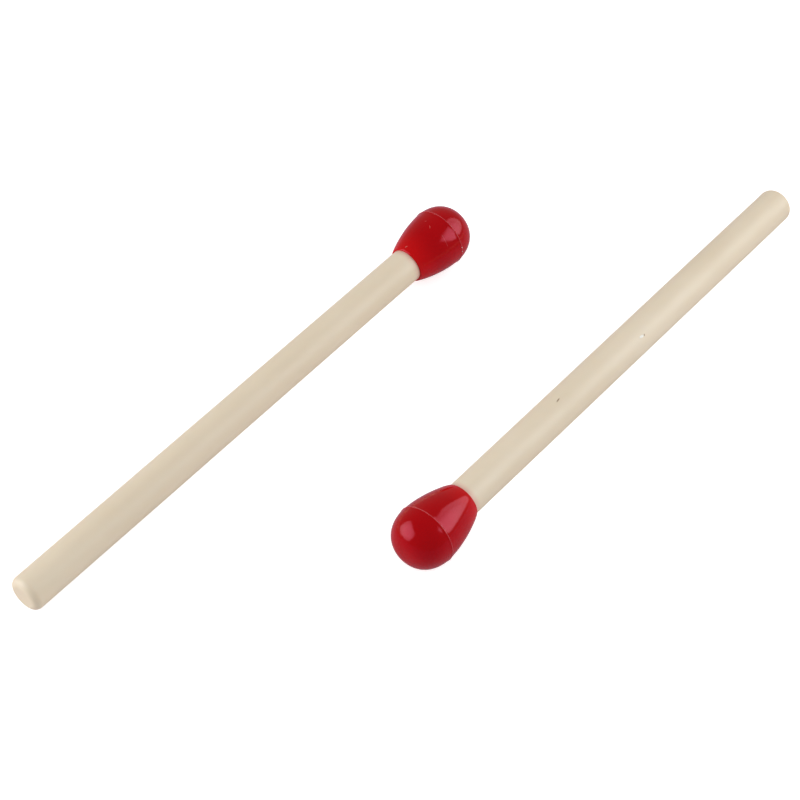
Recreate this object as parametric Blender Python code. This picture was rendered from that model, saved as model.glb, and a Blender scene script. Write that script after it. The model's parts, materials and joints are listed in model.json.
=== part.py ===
"""A pair of mallets for a glockenspiel, lying loose side by side, head to tail.

Each mallet is three pieces on one axis:
  handle     a round rod with a rounded butt end, slightly thinner at the head
  head_cone  the rear half of the drop-shaped head: a socket for the handle, and a dish in front
  head_dome  the front half: a hollow cap whose lap ring fits inside the dish

Each piece is turned about the mallet's own axis, which is its local +X, from the butt face at
x = 0 to the tip of the dome. A mallet lies on two points, its butt edge and the widest circle of
its head, so it tilts a little. In the finished model +X runs along the mallets, +Z is up, z = 0
is the surface that they lie on, and the origin is under the middle of the pair.
"""

import math

import bmesh
import bpy
from mathutils import Vector

# Driving dimensions of one mallet, in metres.
MALLET_LENGTH = 0.2000  # butt face to the tip of the dome
HANDLE_RADIUS = 0.00595  # at the butt end
HANDLE_TAPER = 0.00016  # how much less the radius is at the other end
BUTT_ROUNDING = 0.0024  # radius of the rounded edge round the butt face
HANDLE_LEAD_IN = 0.0006  # chamfer on the end that goes into the socket

HEAD_RADIUS = 0.01025  # at the seam, the widest circle
DOME_HEIGHT = 0.0101  # seam to tip
DOME_SETBACK = 0.0020  # how far behind the seam the dome's curve would be at its widest
DOME_FULLNESS = 2.42  # 2 is an ellipse, more is squarer
CONE_LENGTH = 0.01665  # lip to seam
CONE_BULGE = 0.00074  # of the cone's side, outside a straight line from lip to seam
LIP_WALL = 0.00042  # round the mouth of the socket

DISH_WALL = 0.0018  # of the cone, round the dome's lap ring
LAP_DEPTH = 0.0025  # of the dome's lap ring behind the seam
LAP_WALL = 0.0012
SOCKET_FLOOR = 0.0015  # between the handle's end and the dish
DOME_TIP_WALL = 0.0020

FIT_GAP = 0.00025  # clearance between pieces that touch

# How the pair lies.
PAIR_SPACING = 0.0764  # across, from one butt end to the other
TIP_TO_BUTT_OFFSET = 0.0811  # how far each butt end reaches past the other mallet's tip
SPLAY_DEGREES = 0.66  # between the two axes

# Fineness of the turned faces.
TURN_STEPS = 48
CONE_STEPS = 9
DOME_STEPS = 9
INNER_DOME_STEPS = 6
ROUNDING_STEPS = 5
SHARP_ANGLE = math.radians(35)

# Principled colours are linear.
CREAM_PLASTIC = {"colour": (0.74, 0.63, 0.47, 1.0), "roughness": 0.42}
RED_PLASTIC = {"colour": (0.40, 0.006, 0.008, 1.0), "roughness": 0.12}

# Places along the axis and radii that follow from the driving dimensions.
SEAM_X = MALLET_LENGTH - DOME_HEIGHT
CONE_RIM_X = SEAM_X - FIT_GAP / 2
DOME_RIM_X = SEAM_X + FIT_GAP / 2
LIP_X = SEAM_X - CONE_LENGTH
LAP_END_X = DOME_RIM_X - LAP_DEPTH
DISH_FLOOR_X = LAP_END_X - FIT_GAP
SOCKET_END_X = DISH_FLOOR_X - SOCKET_FLOOR
HANDLE_END_X = SOCKET_END_X - FIT_GAP

NECK_RADIUS = HANDLE_RADIUS - HANDLE_TAPER
SOCKET_RADIUS = NECK_RADIUS + FIT_GAP
LIP_RADIUS = SOCKET_RADIUS + LIP_WALL
DISH_RADIUS = HEAD_RADIUS - DISH_WALL
LAP_RADIUS = DISH_RADIUS - FIT_GAP
LAP_INNER_RADIUS = LAP_RADIUS - LAP_WALL


def clear_scene():
    for obj in list(bpy.data.objects):
        bpy.data.objects.remove(obj, do_unlink=True)


def plastic(name, colour, roughness):
    material = bpy.data.materials.new(name)
    material.use_nodes = True
    shader = material.node_tree.nodes["Principled BSDF"]
    shader.inputs["Base Color"].default_value = colour
    shader.inputs["Roughness"].default_value = roughness
    shader.inputs["Metallic"].default_value = 0.0
    return material


def cone_curve():
    """The bulging outline from the lip to the cone's rim, as (x, radius)."""
    points = []
    for step in range(CONE_STEPS + 1):
        share = step / CONE_STEPS
        x = LIP_X + share * (CONE_RIM_X - LIP_X)
        straight = LIP_RADIUS + share * (HEAD_RADIUS - LIP_RADIUS)
        points.append((x, straight + 4 * CONE_BULGE * share * (1 - share)))
    return points


def dome_curve(radius, height, steps):
    """A dome's outline from its rim to its tip on the axis, as (x, radius)."""
    full_height = height + DOME_SETBACK
    at_rim = (DOME_SETBACK / full_height) ** DOME_FULLNESS
    full_radius = radius / (1 - at_rim) ** (1 / DOME_FULLNESS)
    start = math.asin(math.sqrt(at_rim))
    power = 2 / DOME_FULLNESS
    points = []
    for step in range(steps):
        angle = start + (math.pi / 2 - start) * step / steps
        x = DOME_RIM_X - DOME_SETBACK + full_height * math.sin(angle) ** power
        points.append((x, full_radius * math.cos(angle) ** power))
    points.append((DOME_RIM_X + height, 0.0))
    return points


def handle_outline():
    points = [(0.0, 0.0)]
    flat = HANDLE_RADIUS - BUTT_ROUNDING
    for step in range(ROUNDING_STEPS + 1):
        angle = math.pi / 2 * step / ROUNDING_STEPS
        x = BUTT_ROUNDING * (1 - math.cos(angle))
        points.append((x, flat + BUTT_ROUNDING * math.sin(angle)))
    points += [
        (HANDLE_END_X - HANDLE_LEAD_IN, NECK_RADIUS),
        (HANDLE_END_X, NECK_RADIUS - HANDLE_LEAD_IN),
        (HANDLE_END_X, 0.0),
    ]
    return points


def cone_outline():
    points = [(SOCKET_END_X, 0.0), (SOCKET_END_X, SOCKET_RADIUS), (LIP_X, SOCKET_RADIUS)]
    points += cone_curve()
    points += [(CONE_RIM_X, DISH_RADIUS), (DISH_FLOOR_X, DISH_RADIUS), (DISH_FLOOR_X, 0.0)]
    return points


def dome_outline():
    hollow = dome_curve(LAP_INNER_RADIUS, MALLET_LENGTH - DOME_TIP_WALL - DOME_RIM_X, INNER_DOME_STEPS)
    points = hollow[::-1]
    points += [(LAP_END_X, LAP_INNER_RADIUS), (LAP_END_X, LAP_RADIUS), (DOME_RIM_X, LAP_RADIUS)]
    points += dome_curve(HEAD_RADIUS, MALLET_LENGTH - DOME_RIM_X, DOME_STEPS)
    return points


def turned_mesh(name, outline, material):
    """Turn an outline that starts and ends on the axis about local X, its first step at the bottom."""
    bm = bmesh.new()
    verts = [bm.verts.new((x, 0.0, -radius)) for x, radius in outline]
    edges = [bm.edges.new(pair) for pair in zip(verts, verts[1:])]
    bmesh.ops.spin(
        bm,
        geom=verts + edges,
        cent=(0, 0, 0),
        axis=(1, 0, 0),
        angle=2 * math.pi,
        steps=TURN_STEPS,
        use_merge=True,
    )
    bmesh.ops.remove_doubles(bm, verts=bm.verts, dist=1e-6)
    bmesh.ops.recalc_face_normals(bm, faces=bm.faces)
    mesh = bpy.data.meshes.new(name)
    bm.to_mesh(mesh)
    bm.free()
    mesh.shade_smooth()
    mesh.set_sharp_from_angle(angle=SHARP_ANGLE)
    mesh.materials.append(material)
    return mesh


def resting_tilt():
    """How far the axis rises towards the head of a mallet that lies on its butt edge and its head."""
    slopes = [(radius - HANDLE_RADIUS) / (x - BUTT_ROUNDING) for x, radius in cone_curve()]
    return math.atan(max(slopes))


def mallet(name, meshes, butt, yaw):
    """One mallet: an empty at the middle of its butt face, with the three pieces on it."""
    tilt = resting_tilt()
    height = HANDLE_RADIUS * math.cos(tilt) - BUTT_ROUNDING * math.sin(tilt)
    axis = bpy.data.objects.new(name, None)
    axis.location = (butt[0], butt[1], height)
    axis.rotation_euler = (0.0, -tilt, yaw)
    bpy.context.collection.objects.link(axis)
    for piece, mesh in meshes.items():
        obj = bpy.data.objects.new(name + "_" + piece, mesh)
        obj.parent = axis
        bpy.context.collection.objects.link(obj)
    return axis


def centre_on_origin(axes):
    """Slide the pair so that the middle of its box is over the origin."""
    bpy.context.view_layer.update()
    low = Vector((math.inf, math.inf))
    high = Vector((-math.inf, -math.inf))
    for axis in axes:
        for piece in axis.children:
            for vert in piece.data.vertices:
                place = piece.matrix_world @ vert.co
                low = Vector((min(low.x, place.x), min(low.y, place.y)))
                high = Vector((max(high.x, place.x), max(high.y, place.y)))
    for axis in axes:
        axis.location.x -= (low.x + high.x) / 2
        axis.location.y -= (low.y + high.y) / 2


def main():
    clear_scene()
    cream = plastic("cream_plastic", **CREAM_PLASTIC)
    red = plastic("red_plastic", **RED_PLASTIC)
    meshes = {
        "handle": turned_mesh("handle", handle_outline(), cream),
        "head_cone": turned_mesh("head_cone", cone_outline(), red),
        "head_dome": turned_mesh("head_dome", dome_outline(), red),
    }
    half_span = (MALLET_LENGTH + TIP_TO_BUTT_OFFSET) / 2
    half_splay = math.radians(SPLAY_DEGREES / 2)
    first = mallet("mallet_a", meshes, (-half_span, PAIR_SPACING / 2), -half_splay)
    second = mallet("mallet_b", meshes, (half_span, -PAIR_SPACING / 2), math.pi + half_splay)
    centre_on_origin([first, second])


main()
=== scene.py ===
"""The looks of a pair of glockenspiel mallets: satin cream handles and glossy red moulded heads.

Every visible piece is turned about its mallet's own axis, in that mallet's frame: +X runs from the
butt face to the tip of the head, +Z is up. Sizes of the mallets are in millimetres, and angles
about the axis start from the top. The studio's sizes are in metres.
"""

import json
import math

import bmesh
import bpy
import numpy as np
from mathutils import Matrix, Vector, noise

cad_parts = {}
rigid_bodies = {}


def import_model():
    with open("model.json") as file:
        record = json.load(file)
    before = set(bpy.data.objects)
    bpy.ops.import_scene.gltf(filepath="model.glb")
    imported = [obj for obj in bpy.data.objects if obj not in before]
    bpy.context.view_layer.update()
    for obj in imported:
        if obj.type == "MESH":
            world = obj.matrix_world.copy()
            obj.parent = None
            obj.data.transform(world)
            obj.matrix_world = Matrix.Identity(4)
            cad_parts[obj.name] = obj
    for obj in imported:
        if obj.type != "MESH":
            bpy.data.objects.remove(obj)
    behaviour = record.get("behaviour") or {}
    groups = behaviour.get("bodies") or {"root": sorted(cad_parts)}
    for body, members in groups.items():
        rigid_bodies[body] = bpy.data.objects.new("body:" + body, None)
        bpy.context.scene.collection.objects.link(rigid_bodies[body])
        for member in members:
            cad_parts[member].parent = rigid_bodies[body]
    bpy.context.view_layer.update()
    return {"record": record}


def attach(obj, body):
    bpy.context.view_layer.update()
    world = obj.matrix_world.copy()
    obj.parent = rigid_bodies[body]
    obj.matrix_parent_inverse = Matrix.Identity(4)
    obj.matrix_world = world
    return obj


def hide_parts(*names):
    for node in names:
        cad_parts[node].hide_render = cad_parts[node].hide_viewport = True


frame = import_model()

MM = 0.001
MALLETS = ("mallet_a", "mallet_b")

# One mallet, from its butt face and its axis. The outside is the CAD's. The gaps there that stand
# in for contact are nearly closed here.
LENGTH = 200.0
BUTT_RADIUS = 5.95
BUTT_ROUNDING = 2.4
NECK_RADIUS = 5.79
HANDLE_END, HANDLE_END_ROUNDING = 185.525, 0.5
HEAD_RADIUS = 10.25
LIP_X, SEAM_X = 173.25, 189.9
LIP_RADIUS, LIP_ROUNDING = 6.46, 0.4
CONE_BULGE = 0.74
DOME_SETBACK, DOME_FULLNESS = 2.0, 2.42
SOCKET_RADIUS, SOCKET_END, SOCKET_MOUTH_ROUNDING = 5.82, 185.775, 0.06
DISH_RADIUS, DISH_FLOOR = 8.45, 187.275
LAP_RADIUS, LAP_INNER_RADIUS, LAP_END = 8.2, 7.0, 187.525
TIP_WALL = 2.0

# The seam round the head: each half dips before it and rises to it, and a bead stands on the joint.
SEAM_GAP = 0.03
SEAM_CREST, SEAM_DIP = 0.03, -0.045
SEAM_RISE_WIDTH, SEAM_DIP_WIDTH = 0.75, 4.0
SEAM_RISE_EASING = 0.25
BEAD_RADIUS, BEAD_DEPTH, BEAD_UNEVENNESS = 0.16, 0.115, 0.25
LIP_EASING, LIP_EASING_WIDTH = 0.11, 2.4

# Unevenness of the moulded surfaces, and the places that stay plain: inside the socket and the
# dish, and close to the tip.
RIPPLE_DEPTH = 0.02
SOCKET_SIDE = LIP_RADIUS - 0.3
DISH_START, DISH_SIDE = DISH_FLOOR - 1, DISH_RADIUS + 0.01
TIP_START, TIP_SIDE = SEAM_X + 8, 6

# Fineness of the meshes.
HANDLE_TURNS, HEAD_TURNS = 128, 192
HANDLE_ROUNDING_STEPS, LIP_STEPS, MOUTH_STEPS = 14, 10, 4
CONE_STEPS, DOME_STEPS, HOLLOW_STEPS = 90, 96, 24
CONE_CROWDING, DOME_CROWDING = 1.6, 1.25
HANDLE_FACE_LENGTH, HEAD_FACE_LENGTH = 2.5, 4.0
SHORT_RUN, CORNER_MARGIN = 0.6, 0.12
BEAD_SIDES = 10
MARK_STEPS, MARK_SIDES = 14, 12


def arc_corner(before, corner, after, radius, steps):
    """The points of a rounded corner between two straight lines of an outline."""
    b, c, a = (np.array(p, float) for p in (before, corner, after))
    u, v = (b - c) / np.linalg.norm(b - c), (a - c) / np.linalg.norm(a - c)
    half = math.acos(max(-1.0, min(1.0, float(u @ v)))) / 2
    middle = (u + v) / np.linalg.norm(u + v)
    centre = c + middle * radius / math.sin(half)
    start = c + u * radius / math.tan(half) - centre
    end = c + v * radius / math.tan(half) - centre
    turn = math.pi - 2 * half
    points = []
    for step in range(steps + 1):
        t = step / steps
        s = (math.sin((1 - t) * turn) * start + math.sin(t * turn) * end) / math.sin(turn)
        points.append(tuple(centre + s))
    return points


def filled(points, longest):
    """The outline with extra points: close to the ends of each long run, and along it."""
    made = [points[0]]
    for (x0, r0), (x1, r1) in zip(points, points[1:]):
        run = math.hypot(x1 - x0, r1 - r0)
        if run > SHORT_RUN:
            near = CORNER_MARGIN / run
            count = max(1, math.ceil(run * (1 - 2 * near) / longest))
            shares = [near + (1 - 2 * near) * k / count for k in range(count + 1)]
            made += [(x0 + (x1 - x0) * s, r0 + (r1 - r0) * s) for s in shares]
        made.append((x1, r1))
    return made


def on_mallet(x, radius, angle):
    """A point in metres in the mallet's frame."""
    return (x * MM, radius * math.sin(angle) * MM, radius * math.cos(angle) * MM)


def band(a, b, count):
    """The faces between two rings of count points each, a and b being their first points."""
    return [(a + k, a + (k + 1) % count, b + (k + 1) % count, b + k) for k in range(count)]


def solid(name, verts, faces):
    """A smooth mesh with its faces turned outwards."""
    mesh = bpy.data.meshes.new(name)
    mesh.from_pydata(verts, [], faces)
    bm = bmesh.new()
    bm.from_mesh(mesh)
    bmesh.ops.recalc_face_normals(bm, faces=bm.faces)
    bm.to_mesh(mesh)
    bm.free()
    mesh.shade_smooth()
    return mesh


def turned(name, outline, turns, relief):
    """A closed mesh turned from an outline whose two ends are on the axis, with relief added."""
    rings = outline[1:-1]
    angles = np.arange(turns) * 2 * math.pi / turns
    verts = [on_mallet(x, r + relief(x, r, angle), angle) for x, r in rings for angle in angles]
    faces = []
    for ring in range(len(rings) - 1):
        faces += band(ring * turns, (ring + 1) * turns, turns)
    for pole, base in ((outline[0], 0), (outline[-1], (len(rings) - 1) * turns)):
        verts.append(on_mallet(*pole, 0.0))
        faces += [(len(verts) - 1, base + k, base + (k + 1) % turns) for k in range(turns)]
    return solid(name, verts, faces)


def ripple(seed, x, angle, along, around, depth):
    """A smooth irregularity of the surface, the same each run."""
    shift = seed * 7.3
    spot = Vector((x / along, math.cos(angle) * around, math.sin(angle) * around + shift))
    return noise.noise(spot) * depth


# ---------------------------------------------------------------- outlines


def handle_outline():
    butt_centre, butt_edge = (0.0, 0.0), (0.0, BUTT_RADIUS)
    end_edge, end_centre = (HANDLE_END, NECK_RADIUS), (HANDLE_END, 0.0)
    butt = arc_corner(butt_centre, butt_edge, end_edge, BUTT_ROUNDING, HANDLE_ROUNDING_STEPS)
    end = arc_corner(butt_edge, end_edge, end_centre, HANDLE_END_ROUNDING, HANDLE_ROUNDING_STEPS)
    return filled([butt_centre, *butt, *end, end_centre], HANDLE_FACE_LENGTH)


def cone_radius(share):
    """The cone's plain outside at a share of the way from the lip to the seam."""
    straight = LIP_RADIUS + share * (HEAD_RADIUS - LIP_RADIUS)
    return straight + 4 * CONE_BULGE * share * (1 - share)


def cone_side():
    """The cone's outside from the lip to the seam, with points closer together by the seam."""
    points = []
    for step in range(CONE_STEPS + 1):
        share = 1 - (1 - step / CONE_STEPS) ** CONE_CROWDING
        x = LIP_X + share * (SEAM_X - SEAM_GAP / 2 - LIP_X)
        points.append((x, cone_radius(share)))
    return points


def dome_side(radius, rim_x, height, steps):
    """A dome's curve from its rim to its tip, with points closer together by the rim."""
    full_height = height + DOME_SETBACK
    at_rim = (DOME_SETBACK / full_height) ** DOME_FULLNESS
    full_radius = radius / (1 - at_rim) ** (1 / DOME_FULLNESS)
    start = math.asin(math.sqrt(at_rim))
    power = 2 / DOME_FULLNESS
    points = []
    for step in range(steps):
        angle = start + (math.pi / 2 - start) * (step / steps) ** DOME_CROWDING
        x = rim_x - DOME_SETBACK + full_height * math.sin(angle) ** power
        points.append((x, full_radius * math.cos(angle) ** power))
    points.append((rim_x + height, 0.0))
    return points


def seam_relief(x):
    """The height of a half's surface beside the seam, over its plain curve."""
    away = abs(x - SEAM_X)
    if away < SEAM_RISE_WIDTH:
        share = away / SEAM_RISE_WIDTH
        easing = 1 + SEAM_RISE_EASING - SEAM_RISE_EASING * share * share * share
        return SEAM_CREST + (SEAM_DIP - SEAM_CREST) * share * easing
    share = min(1.0, (away - SEAM_RISE_WIDTH) / SEAM_DIP_WIDTH)
    return SEAM_DIP * (1 - share) ** 2 * (1 + 2 * share)


def lip_relief(x):
    """The cone's side eases inwards to its lip."""
    share = max(0.0, 1 - (x - LIP_X) / LIP_EASING_WIDTH)
    return -LIP_EASING * share * share


def cone_outline():
    mouth_edge, lip_edge = (LIP_X, SOCKET_RADIUS), (LIP_X, LIP_RADIUS)
    socket_edge = (SOCKET_END, SOCKET_RADIUS)
    side = cone_side()
    near_lip = side[3]
    lip = arc_corner(mouth_edge, lip_edge, near_lip, LIP_ROUNDING, LIP_STEPS)
    side = [p for p in side if p[0] > lip[-1][0] + 0.02]
    mouth = arc_corner(socket_edge, mouth_edge, lip_edge, SOCKET_MOUTH_ROUNDING, MOUTH_STEPS)
    inside = filled([(SOCKET_END, 0.0), socket_edge, mouth[0]], HEAD_FACE_LENGTH)
    rim_x = side[-1][0]
    dish = [(rim_x, DISH_RADIUS), (DISH_FLOOR, DISH_RADIUS), (DISH_FLOOR, 0.0)]
    return inside + mouth[1:] + lip + side + filled([side[-1], *dish], HEAD_FACE_LENGTH)[1:]


def dome_outline():
    rim_x = SEAM_X + SEAM_GAP / 2
    hollow = dome_side(LAP_INNER_RADIUS, rim_x, LENGTH - TIP_WALL - rim_x, HOLLOW_STEPS)[::-1]
    ring = [hollow[-1], (LAP_END, LAP_INNER_RADIUS), (LAP_END, LAP_RADIUS), (rim_x, LAP_RADIUS)]
    side = dome_side(HEAD_RADIUS, rim_x, LENGTH - rim_x, DOME_STEPS)
    return hollow[:-1] + filled([*ring, side[0]], HEAD_FACE_LENGTH) + side[1:]


# ---------------------------------------------------------------- materials

CREAM_LIGHT = (0.79, 0.685, 0.530)
CREAM_DARK = (0.755, 0.645, 0.485)
# Painted shade and painted red bounce on the handle next to the head's lip.
CREAM_PAINTED_SHADE_AT_LIP = (0.70, 0.37, 0.31)
RED = (0.412, 0.0002, 0.0003)
RED_DEEP = (0.376, 0.0002, 0.0002)
# Painted glow: a brighter red that stands in for light coming through the head's thin wall near the
# lip.
RED_PAINTED_GLOW = (0.54, 0.003, 0.002)
# Pale red for the seam's bead and the cone's scratch: partly whitened plastic and partly a painted
# highlight line.
PALE_RED_WITH_PAINTED_GLINT = (0.58, 0.032, 0.042)
# Pale chips and nibs on the red head: partly whitened plastic and partly painted glints.
CHIP_PALE_WITH_PAINTED_GLINT = (0.66, 0.085, 0.07)
NIB_PALE_WITH_PAINTED_GLINT = (0.85, 0.42, 0.42)
SPECK_BROWN = (0.27, 0.13, 0.045)
MARK_PALE = (0.95, 0.92, 0.86)
SPECULAR_PINK = (1.0, 0.27, 0.42, 1.0)
WHITE = (1.0, 1.0, 1.0, 1.0)

CREAM_ROUGHNESS, RED_ROUGHNESS = (0.38, 0.46), (0.085, 0.125)
SEAM_ROUGHNESS, MARK_ROUGHNESS = 0.28, 0.4
# Where along the mallet the handle gets a painted shade with a painted red bounce from the head,
# and where the head gets a painted glow of light through its thin wall.
PAINTED_SHADE_START, PAINTED_SHADE_END, PAINTED_SHADE_MOST = LIP_X - 2.7, LIP_X + 0.3, 0.7
PAINTED_GLOW_START, PAINTED_GLOW_END, PAINTED_GLOW_MOST = LIP_X + 9, LIP_X - 1, 1.0
# Most of a noise field's values lie between these.
NOISE_LOW, NOISE_HIGH = 0.3, 0.7
# A Mix node has sockets of the same name for each kind of data, so its colours go by number.
MIX_FIRST, MIX_SECOND, MIX_RESULT = 6, 7, 2


def set_inputs(made, values):
    """Set a node's input sockets, by name or by number."""
    for socket, value in values.items():
        made.inputs[socket].default_value = value


def node(tree, kind, values=None, **settings):
    """A new node with its settings and the values of its input sockets."""
    made = tree.nodes.new(kind)
    for key, setting in settings.items():
        setattr(made, key, setting)
    set_inputs(made, values or {})
    return made


def noise_field(tree, seed, scale, detail, stretch=(1, 1, 1)):
    """Noise in the piece's own coordinates, scale in features a metre, as a socket."""
    shift = (seed * 1.7, seed * 0.9, seed * 2.3)
    place = node(tree, "ShaderNodeTexCoord")
    spread = node(tree, "ShaderNodeMapping", {"Scale": stretch, "Location": shift})
    field = node(tree, "ShaderNodeTexNoise", {"Scale": scale, "Detail": detail})
    tree.links.new(place.outputs["Object"], spread.inputs["Vector"])
    tree.links.new(spread.outputs["Vector"], field.inputs["Vector"])
    return field.outputs["Fac"]


def ramp(tree, source, stops):
    """A colour ramp from two (position, colour) stops."""
    made = node(tree, "ShaderNodeValToRGB")
    for element, (position, colour) in zip(made.color_ramp.elements, stops):
        element.position = position
        element.color = (*colour, 1.0)
    tree.links.new(source, made.inputs["Fac"])
    return made.outputs["Color"]


def map_range(tree, source, start, end, low, high, curve="LINEAR"):
    """A socket that goes from low to high as the source goes from start to end."""
    ends = {"From Min": start, "From Max": end, "To Min": low, "To Max": high}
    made = node(tree, "ShaderNodeMapRange", ends, interpolation_type=curve)
    tree.links.new(source, made.inputs["Value"])
    return made.outputs["Result"]


def bump(tree, height, distance, strength, under=None):
    """A bump from a height socket, distance in metres, over another bump."""
    made = node(tree, "ShaderNodeBump", {"Strength": strength, "Distance": distance})
    tree.links.new(height, made.inputs["Height"])
    if under:
        tree.links.new(under, made.inputs["Normal"])
    return made.outputs["Normal"]


def new_material(name):
    material = bpy.data.materials.new(name)
    material.use_nodes = True
    return material, material.node_tree, material.node_tree.nodes["Principled BSDF"]


def blend_along(tree, plain, start, end, most, colour):
    """A colour socket that goes from plain towards a colour between two places along the mallet."""
    along = node(tree, "ShaderNodeSeparateXYZ")
    tree.links.new(node(tree, "ShaderNodeTexCoord").outputs["Object"], along.inputs["Vector"])
    share = map_range(tree, along.outputs["X"], start * MM, end * MM, 0.0, most, "SMOOTHSTEP")
    mix = node(tree, "ShaderNodeMix", data_type="RGBA")
    mix.inputs[MIX_SECOND].default_value = (*colour, 1.0)
    tree.links.new(share, mix.inputs["Factor"])
    tree.links.new(plain, mix.inputs[MIX_FIRST])
    return mix.outputs[MIX_RESULT]


def cream_plastic(name, seed):
    """Satin cream, with a painted shade and a painted red bounce close to the lip of the head."""
    material, tree, shader = new_material(name)
    mottle = noise_field(tree, seed, scale=70, detail=3, stretch=(0.45, 1, 1))
    plain = ramp(tree, mottle, [(0.32, CREAM_DARK), (0.68, CREAM_LIGHT)])
    # Painted shade with a painted red bounce: the handle is darker and redder beside the lip.
    painted_shade = blend_along(tree, plain, PAINTED_SHADE_START, PAINTED_SHADE_END, PAINTED_SHADE_MOST, CREAM_PAINTED_SHADE_AT_LIP)
    tree.links.new(painted_shade, shader.inputs["Base Color"])
    patches = noise_field(tree, seed + 3, scale=160, detail=4, stretch=(0.6, 1, 1))
    roughness = map_range(tree, patches, NOISE_LOW, NOISE_HIGH, *CREAM_ROUGHNESS)
    tree.links.new(roughness, shader.inputs["Roughness"])
    skin = noise_field(tree, seed + 5, scale=1500, detail=2)
    waves = noise_field(tree, seed + 7, scale=120, detail=1, stretch=(0.3, 1, 1))
    normal = bump(tree, waves, distance=0.00006, strength=0.5)
    normal = bump(tree, skin, distance=0.000012, strength=0.6, under=normal)
    tree.links.new(normal, shader.inputs["Normal"])
    look = {
        "Subsurface Weight": 0.12,
        "Subsurface Radius": (1.0, 0.7, 0.45),
        "Subsurface Scale": 0.002,
        "IOR": 1.49,
    }
    set_inputs(shader, look)
    return material


def red_plastic(name, seed):
    """Glossy red, with a painted glow of light through its thin wall round the pale handle."""
    material, tree, shader = new_material(name)
    tone = noise_field(tree, seed, scale=60, detail=2)
    plain = ramp(tree, tone, [(NOISE_LOW, RED_DEEP), (NOISE_HIGH, RED)])
    # Painted glow of light through the thin wall: the red gets brighter towards the lip.
    thin = blend_along(tree, plain, PAINTED_GLOW_START, PAINTED_GLOW_END, PAINTED_GLOW_MOST, RED_PAINTED_GLOW)
    tree.links.new(thin, shader.inputs["Base Color"])
    smears = noise_field(tree, seed + 2, scale=240, detail=5, stretch=(1, 0.5, 1))
    roughness = map_range(tree, smears, NOISE_LOW, NOISE_HIGH, *RED_ROUGHNESS)
    tree.links.new(roughness, shader.inputs["Roughness"])
    skin = noise_field(tree, seed + 4, scale=900, detail=2)
    waves = noise_field(tree, seed + 6, scale=160, detail=1)
    normal = bump(tree, waves, distance=0.00004, strength=0.5)
    normal = bump(tree, skin, distance=0.000004, strength=0.5, under=normal)
    tree.links.new(normal, shader.inputs["Normal"])
    set_inputs(shader, {"Specular Tint": SPECULAR_PINK, "Specular IOR Level": 0.55, "IOR": 1.5})
    return material


def mark_material(name, colour, roughness, seed):
    """One colour, a quarter deeper in places."""
    material, tree, shader = new_material(name)
    tone = noise_field(tree, seed, scale=2500, detail=3)
    deep = tuple(channel * 0.75 for channel in colour)
    colours = ramp(tree, tone, [(0.35, deep), (0.65, colour)])
    tree.links.new(colours, shader.inputs["Base Color"])
    tree.links.new(bump(tree, tone, distance=0.00002, strength=0.5), shader.inputs["Normal"])
    shader.inputs["Roughness"].default_value = roughness
    return material


# ---------------------------------------------------------------- the mallets

# Small marks of use and of moulding: where each starts and ends (x, degrees from the top), its
# width and height, and its colour. The pale colours of the head's marks are partly painted glints.
MARKS = {
    "mallet_a": {
        "cone_chip_1": ((184.1, -7.0), (185.0, -1.5), 0.22, 0.03, CHIP_PALE_WITH_PAINTED_GLINT),
        "cone_chip_2": ((185.5, 14.5), (185.9, 10.5), 0.2, 0.02, CHIP_PALE_WITH_PAINTED_GLINT),
        "cone_chip_3": ((174.3, 12.0), (175.1, 7.0), 0.4, 0.02, CHIP_PALE_WITH_PAINTED_GLINT),
        "cone_scratch": ((185.3, -28.0), (184.75, -60.0), 0.14, 0.012, PALE_RED_WITH_PAINTED_GLINT),
        "seam_nib_1": ((189.7, -78.5), (190.1, -81.0), 0.42, 0.22, NIB_PALE_WITH_PAINTED_GLINT),
        "seam_nib_2": ((189.7, -88.5), (190.1, -91.0), 0.36, 0.19, NIB_PALE_WITH_PAINTED_GLINT),
    },
    "mallet_b": {
        "handle_speck": ((125.0, 1.8), (126.9, 5.0), 0.32, 0.012, SPECK_BROWN),
        "handle_nick": ((84.9, 39.5), (86.8, 36.5), 0.8, 0.03, MARK_PALE),
        "handle_nick_dirt": ((84.3, 38.0), (84.9, 42.5), 0.3, 0.03, SPECK_BROWN),
    },
}
# A mark's size at its two ends, as a share of its middle, and how blunt it is between them.
MARK_END_SHARE, MARK_BLUNTNESS = 0.03, 0.6


def mallet_frame(name):
    """The place of a mallet's own frame: its butt face's middle, +X along its axis, +Z up."""
    mount = next(m for m in frame["record"]["mounts"] if m["name"] == name + "_butt_face")
    along = -Vector(mount["axis"]).normalized()
    side = Vector((0, 0, 1)).cross(along).normalized()
    up = along.cross(side)
    turn = Matrix((along, side, up)).transposed().to_4x4()
    return Matrix.Translation(mount["pos_m"]) @ turn


def place(name, mesh, material, mallet, slot):
    mesh.materials.append(material)
    piece = bpy.data.objects.new(name, mesh)
    bpy.context.scene.collection.objects.link(piece)
    piece.matrix_world = mallet_frame(mallet)
    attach(piece, mallet)
    return piece


def bead_mesh(name, seed):
    """The bead of flash round the seam: a thin ring, thicker in some places than in others."""
    turns = 2 * HEAD_TURNS
    centre = HEAD_RADIUS + SEAM_CREST - BEAD_DEPTH
    verts, faces = [], []
    for step in range(turns):
        angle = 2 * math.pi * step / turns
        uneven = ripple(seed, 0.0, angle, along=1.0, around=3.0, depth=BEAD_UNEVENNESS)
        size = BEAD_RADIUS * (1 + uneven)
        for k in range(BEAD_SIDES):
            way = 2 * math.pi * k / BEAD_SIDES
            x, radius = SEAM_X + size * math.cos(way), centre + size * math.sin(way)
            verts.append(on_mallet(x, radius, angle))
        faces += band(step * BEAD_SIDES, (step + 1) % turns * BEAD_SIDES, BEAD_SIDES)
    return solid(name, verts, faces)


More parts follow.
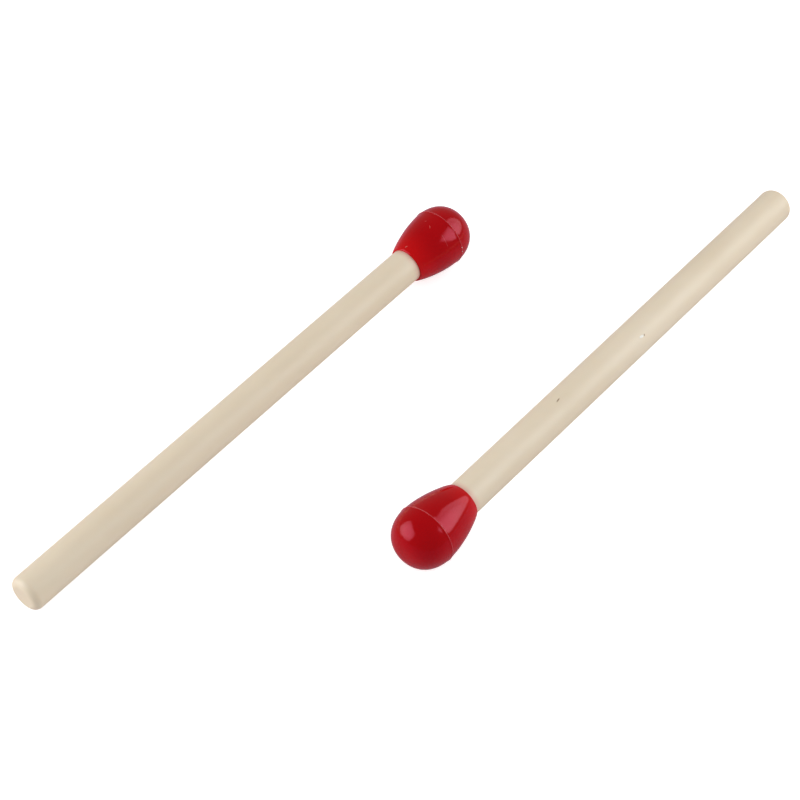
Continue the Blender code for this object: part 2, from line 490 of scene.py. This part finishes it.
def surface_radius(x):
    """The radius of a mallet's outside, as far as the seam."""
    if x < LIP_X:
        return BUTT_RADIUS + (NECK_RADIUS - BUTT_RADIUS) * x / HANDLE_END
    share = min(1.0, (x - LIP_X) / (SEAM_X - LIP_X))
    return cone_radius(share) + seam_relief(x) + lip_relief(x)


def surface_slope(x):
    reach = 0.05
    return (surface_radius(x + reach) - surface_radius(x - reach)) / (2 * reach)


def mark_mesh(name, start, end, width, height):
    """A small raised mark between two (x, angle) places on the surface, sunk a little into it."""
    verts, faces = [], []
    for step in range(MARK_STEPS + 1):
        share = step / MARK_STEPS
        x = start[0] + (end[0] - start[0]) * share
        angle = math.radians(start[1] + (end[1] - start[1]) * share)
        radius, slope = surface_radius(x), surface_slope(x)
        run = Vector((end[0] - start[0], radius * math.radians(end[1] - start[1]))).normalized()
        swell = max(MARK_END_SHARE, math.sin(math.pi * share)) ** MARK_BLUNTNESS
        for k in range(MARK_SIDES):
            way = 2 * math.pi * k / MARK_SIDES
            aside = math.cos(way) * width / 2 * swell
            out = math.sin(way) * height * swell
            at_x = x - run[1] * aside
            at_angle = angle + run[0] * aside / radius
            verts.append(on_mallet(at_x, radius + slope * (at_x - x) + out, at_angle))
    last = MARK_STEPS * MARK_SIDES
    for first in range(0, last, MARK_SIDES):
        faces += band(first, first + MARK_SIDES, MARK_SIDES)
    faces.append(tuple(range(MARK_SIDES)))
    faces.append(tuple(range(last + MARK_SIDES - 1, last - 1, -1)))
    return solid(name, verts, faces)


def build_mallet(name, seed):
    cream = cream_plastic(name + "_cream_plastic", seed)
    red = red_plastic(name + "_red_plastic", seed + 20)
    # The bead's pale red is partly whitened flash and partly a painted highlight along its crest.
    seam = mark_material(name + "_seam_red_with_painted_glint", PALE_RED_WITH_PAINTED_GLINT, SEAM_ROUGHNESS, seed + 30)

    def handle_relief(x, r, angle):
        on_end_faces = r <= 5
        if on_end_faces:
            return 0.0
        return ripple(seed, x, angle, along=22.0, around=0.8, depth=RIPPLE_DEPTH)

    def head_relief(x, r, angle):
        in_socket = x < SEAM_X and r < SOCKET_SIDE
        in_dish = DISH_START < x < SEAM_X and r < DISH_SIDE
        at_tip = x > TIP_START and r < TIP_SIDE
        if in_socket or in_dish or at_tip:
            return 0.0
        uneven = ripple(seed + 2, x, angle, along=9.0, around=1.1, depth=RIPPLE_DEPTH)
        return seam_relief(x) + lip_relief(x) + uneven

    for part, outline, turns, relief, plastic, slot in (
        ("handle", handle_outline(), HANDLE_TURNS, handle_relief, cream, "handle_plastic"),
        ("head_cone", cone_outline(), HEAD_TURNS, head_relief, red, "head_plastic"),
        ("head_dome", dome_outline(), HEAD_TURNS, head_relief, red, "head_plastic"),
    ):
        look = f"{name}_{part}_look"
        piece = place(look, turned(look, outline, turns, relief), plastic, name, slot)
        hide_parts(f"{name}_{part}")
    place(name + "_seam_bead", bead_mesh(name + "_seam_bead", seed), seam, name, "head_plastic")
    for mark, (start, end, width, height, colour) in MARKS[name].items():
        mesh = mark_mesh(f"{name}_{mark}", start, end, width, height)
        slot = "handle_plastic" if start[0] < LIP_X else "head_plastic"
        material = mark_material(f"{name}_{mark}_colour", colour, MARK_ROUGHNESS, seed + 40)
        place(f"{name}_{mark}", mesh, material, name, slot)


for count, mallet in enumerate(MALLETS, 1):
    build_mallet(mallet, count)

# ---------------------------------------------------------------- studio

FLOOR_HALF_WIDTH, FLOOR_SEGMENTS, FLOOR_DROP = 4.0, 8, 0.00002
FLOOR_ROUGHNESS = 0.9
FLOOR_COLOUR, FLOOR_IN_GLOSS = (0.84, 0.84, 0.84, 1.0), (0.50, 0.34, 0.42, 1.0)
# The strength of the floor's own light and of the room's, first as they light and then as seen.
FLOOR_GLOW, FLOOR_SEEN = 0.06, 0.62
ROOM_LIGHT, BACKDROP_LIGHT = 0.31, 1.0

SOFTBOX_DISTANCE = 1.3
SOFTBOX_HOT_SPOT, SOFTBOX_HOT_REACH = 0.6, 1.2
SOFTBOX_CORNER_POWER, SOFTBOX_EDGE_START, SOFTBOX_EDGE_END = 4.0, 0.62, 1.15
# Each softbox: from and to in degrees, and its hot spot across and up, from -1 to 1.
SOFTBOXES = {
    "softbox_right": {
        "azimuths": (-66.0, -5.5), "elevations": (8, 56), "radiance": 2.3, "hot_spot": (-0.4, -0.1)
    },
    "softbox_left": {
        "azimuths": (106.0, 167.0), "elevations": (1, 52), "radiance": 2.3, "hot_spot": (0.1, 0.0)
    },
}

CAMERA_AIM = Vector((-0.00718, 0.00744, 0.0))
CAMERA_AZIMUTH, CAMERA_ELEVATION, CAMERA_DISTANCE = 40.166, 49.229, 0.69315
LENS, SENSOR_WIDTH = 97.763, 36.0
CLIP_START, CLIP_END = 0.01, 20.0


def make_floor():
    low = min(
        (piece.matrix_world @ vert.co).z
        for piece in bpy.context.scene.objects
        if piece.type == "MESH"
        for vert in piece.data.vertices
    )
    mesh = bpy.data.meshes.new("studio_floor")
    bm = bmesh.new()
    segments = {"x_segments": FLOOR_SEGMENTS, "y_segments": FLOOR_SEGMENTS}
    bmesh.ops.create_grid(bm, size=FLOOR_HALF_WIDTH, **segments)
    bm.to_mesh(mesh)
    bm.free()
    floor = bpy.data.objects.new("studio_floor", mesh)
    floor.location.z = low - FLOOR_DROP
    bpy.context.scene.collection.objects.link(floor)
    material, tree, shader = new_material("white_sweep")
    look = {"Roughness": FLOOR_ROUGHNESS, "Specular IOR Level": 0.0, "Emission Color": WHITE}
    set_inputs(shader, look)
    path = node(tree, "ShaderNodeLightPath")
    tint = node(tree, "ShaderNodeMix", data_type="RGBA")
    set_inputs(tint, {MIX_FIRST: FLOOR_COLOUR, MIX_SECOND: FLOOR_IN_GLOSS})
    tree.links.new(path.outputs["Is Glossy Ray"], tint.inputs["Factor"])
    tree.links.new(tint.outputs[MIX_RESULT], shader.inputs["Base Color"])
    glow = map_range(tree, path.outputs["Is Camera Ray"], 0.0, 1.0, FLOOR_GLOW, FLOOR_SEEN)
    tree.links.new(glow, shader.inputs["Emission Strength"])
    mesh.materials.append(material)


def soften(light, hot_spot):
    """A softbox is brightest at its hot spot, and has round corners and a soft edge."""
    light.use_nodes = True
    tree = light.node_tree

    def maths(operation, *values):
        made = node(tree, "ShaderNodeMath", operation=operation)
        for k, value in enumerate(values):
            if isinstance(value, bpy.types.NodeSocket):
                tree.links.new(value, made.inputs[k])
            else:
                made.inputs[k].default_value = value
        return made.outputs[0]

    def sum_of_powers(values, power):
        return maths("ADD", *[maths("POWER", value, power) for value in values])

    place = node(tree, "ShaderNodeSeparateXYZ")
    geometry = node(tree, "ShaderNodeNewGeometry")
    tree.links.new(geometry.outputs["Parametric"], place.inputs["Vector"])
    across_and_up = [maths("MULTIPLY_ADD", place.outputs[k], 2.0, -1.0) for k in (0, 1)]
    corners = sum_of_powers(across_and_up, SOFTBOX_CORNER_POWER)
    off = [maths("SUBTRACT", value, spot) for value, spot in zip(across_and_up, hot_spot)]
    middle = sum_of_powers(off, 2.0)
    hottest, dimmest = 1.0 + SOFTBOX_HOT_SPOT, 1.0 - SOFTBOX_HOT_SPOT / 3
    glow = map_range(tree, middle, 0.0, SOFTBOX_HOT_REACH, hottest, dimmest, "SMOOTHSTEP")
    edge_ends = (SOFTBOX_EDGE_START, SOFTBOX_EDGE_END)
    edge = map_range(tree, corners, *edge_ends, 1.0, 0.0, "SMOOTHSTEP")
    tree.links.new(maths("MULTIPLY", glow, edge), tree.nodes["Emission"].inputs["Strength"])


def direction(azimuth, elevation):
    """The way from the origin at two angles in degrees."""
    azimuth, elevation = math.radians(azimuth), math.radians(elevation)
    return Vector(
        (
            math.cos(elevation) * math.cos(azimuth),
            math.cos(elevation) * math.sin(azimuth),
            math.sin(elevation),
        )
    )


def make_softbox(name, azimuths, elevations, radiance, hot_spot):
    light = bpy.data.lights.new(name, "AREA")
    light.shape = "RECTANGLE"
    light.size, light.size_y = [
        2 * SOFTBOX_DISTANCE * math.tan(math.radians(end - start) / 2)
        for start, end in (azimuths, elevations)
    ]
    light.energy = radiance * math.pi * light.size * light.size_y
    soften(light, hot_spot)
    lamp = bpy.data.objects.new(name, light)
    way = direction(sum(azimuths) / 2, sum(elevations) / 2)
    lamp.location = way * SOFTBOX_DISTANCE
    lamp.rotation_euler = way.to_track_quat("Z", "Y").to_euler()
    bpy.context.scene.collection.objects.link(lamp)


def make_room():
    world = bpy.data.worlds.new("studio_room")
    world.use_nodes = True
    tree = world.node_tree
    room = tree.nodes["Background"]
    set_inputs(room, {"Color": WHITE, "Strength": ROOM_LIGHT})
    seen = node(tree, "ShaderNodeBackground", {"Color": WHITE, "Strength": BACKDROP_LIGHT})
    path = node(tree, "ShaderNodeLightPath")
    mix = node(tree, "ShaderNodeMixShader")
    tree.links.new(path.outputs["Is Camera Ray"], mix.inputs["Fac"])
    tree.links.new(room.outputs["Background"], mix.inputs[1])
    tree.links.new(seen.outputs["Background"], mix.inputs[2])
    tree.links.new(mix.outputs["Shader"], tree.nodes["World Output"].inputs["Surface"])
    bpy.context.scene.world = world


def make_camera():
    forward = direction(CAMERA_AZIMUTH, -CAMERA_ELEVATION)
    camera = bpy.data.cameras.new("camera")
    camera.lens = LENS
    camera.sensor_width = SENSOR_WIDTH
    camera.clip_start, camera.clip_end = CLIP_START, CLIP_END
    eye = bpy.data.objects.new("camera", camera)
    eye.location = CAMERA_AIM - forward * CAMERA_DISTANCE
    eye.rotation_euler = forward.to_track_quat("-Z", "Y").to_euler()
    bpy.context.scene.collection.objects.link(eye)
    bpy.context.scene.camera = eye


make_floor()
for box_name, box in SOFTBOXES.items():
    make_softbox(box_name, **box)
make_room()
make_camera()
bpy.context.scene.view_settings.view_transform = "Standard"
